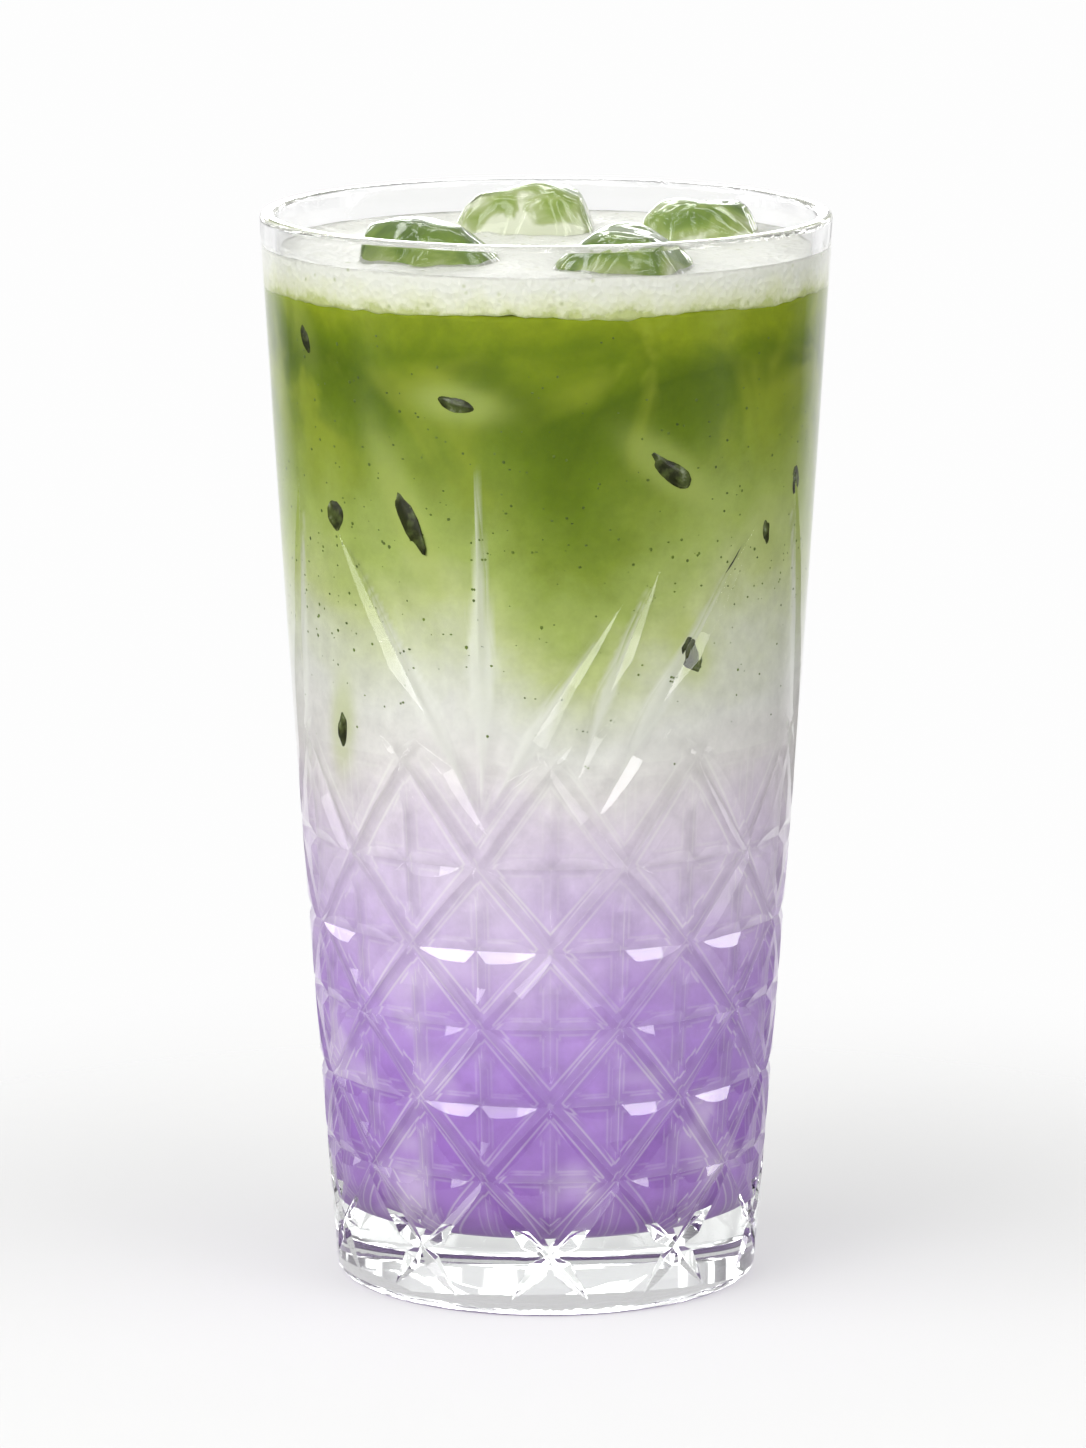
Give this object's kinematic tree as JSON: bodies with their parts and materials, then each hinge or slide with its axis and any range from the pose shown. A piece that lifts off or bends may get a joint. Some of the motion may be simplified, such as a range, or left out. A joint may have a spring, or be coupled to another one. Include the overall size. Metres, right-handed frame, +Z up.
{
  "type": "iced matcha latte in a cut-pattern glass",
  "caption": "Layered iced latte in a tall tapering pressed-glass tumbler: lavender milk, plain milk, matcha, a layer of froth and floating ice cubes.",
  "frame": {"origin": "centre of the base, on the surface that the glass stands on", "axes": "+Z up the glass, -Y towards the side seen in front, +X to its right"},
  "size_m": [0.0818, 0.0818, 0.157],
  "materials": {
    "glass": "clear, polished, with cut relief on the lower two thirds",
    "lavender_milk": "opaque purple milk",
    "milk": "opaque milk with matcha sinking into it",
    "matcha": "opaque green tea with fine specks",
    "froth": "pale froth of fine bubbles",
    "ice": "clear wet ice, tinted by the tea under it"
  },
  "bodies": {
    "root": {"glass": "glass", "lavender_layer": "lavender_milk", "milk_layer": "milk", "matcha_layer": "matcha", "foam_layer": "froth", "ice_left": "ice", "ice_back": "ice", "ice_front": "ice", "ice_right": "ice"}
  },
  "joints": []
}
